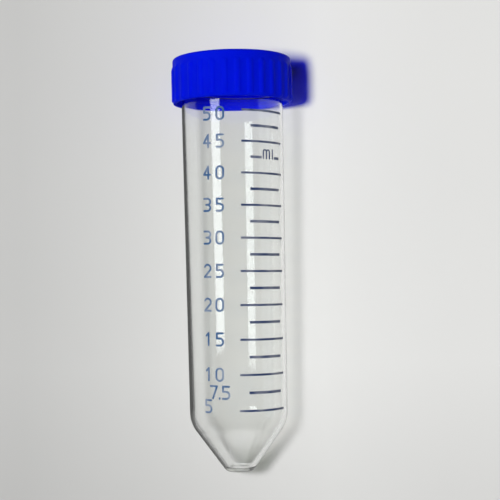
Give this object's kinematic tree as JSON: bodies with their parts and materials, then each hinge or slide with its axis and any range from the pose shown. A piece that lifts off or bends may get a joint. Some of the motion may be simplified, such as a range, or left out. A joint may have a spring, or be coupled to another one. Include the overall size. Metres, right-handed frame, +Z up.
{
  "type": "conical laboratory tube with screw cap",
  "caption": "Clear 50 ml laboratory tube with a conical bottom, a printed volume scale and a ribbed blue screw cap.",
  "frame": {"origin": "on the flat surface that the tube lies on, under the middle of its length and width", "axes": "+Y along the lying tube towards its cap (the axis rises about 2 degrees that way), +Z up through the front of the printed scale, +X to the right when the scale is read with the cap at the top"},
  "size_m": [0.0344, 0.118, 0.0347],
  "materials": {
    "clear_plastic": "gloss",
    "blue_plastic": "satin",
    "scale_ink": "matte"
  },
  "bodies": {
    "tube": {"tube": "clear_plastic", "printed_scale": "scale_ink"},
    "cap": {"cap": "blue_plastic"}
  },
  "joints": [
    {"name": "cap_lift", "type": "slide", "parent": "tube", "child": "cap", "axis": [0, 0.9993, 0.037], "range_m": [0, 0.03]}
  ]
}
